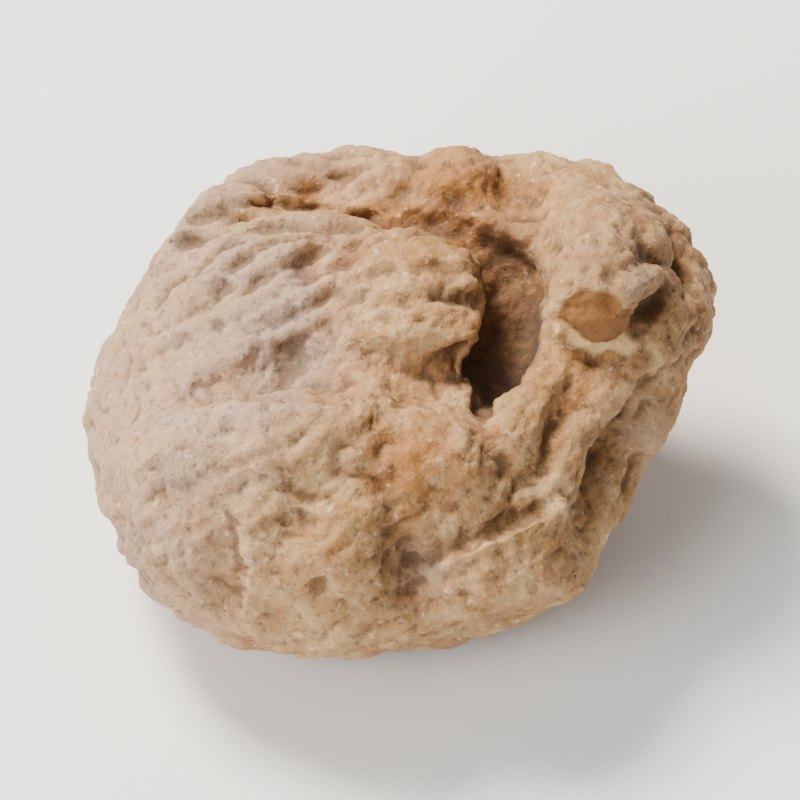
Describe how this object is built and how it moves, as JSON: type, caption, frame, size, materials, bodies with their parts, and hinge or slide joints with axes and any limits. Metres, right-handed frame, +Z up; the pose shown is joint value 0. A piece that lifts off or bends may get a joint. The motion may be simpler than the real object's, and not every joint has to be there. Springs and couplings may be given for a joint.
{
  "type": "dried fig",
  "caption": "Single dried fig: a thick, wrinkled disc of fruit with a rolled rim, a sunken upper face and a bent neck that ends in a broken stalk.",
  "frame": {"origin": "on the surface that the fig rests on, under the middle of its bounding box", "axes": "+Z up, through the sunken upper face; +X along the fig's length, towards the side of the neck; +Y towards the back rim, where the neck starts"},
  "size_m": [0.042, 0.0344, 0.0248],
  "materials": {
    "dried_skin": "matte, dusty dried fruit skin"
  },
  "bodies": {
    "root": {"dried_fig": "dried_skin"}
  },
  "joints": []
}
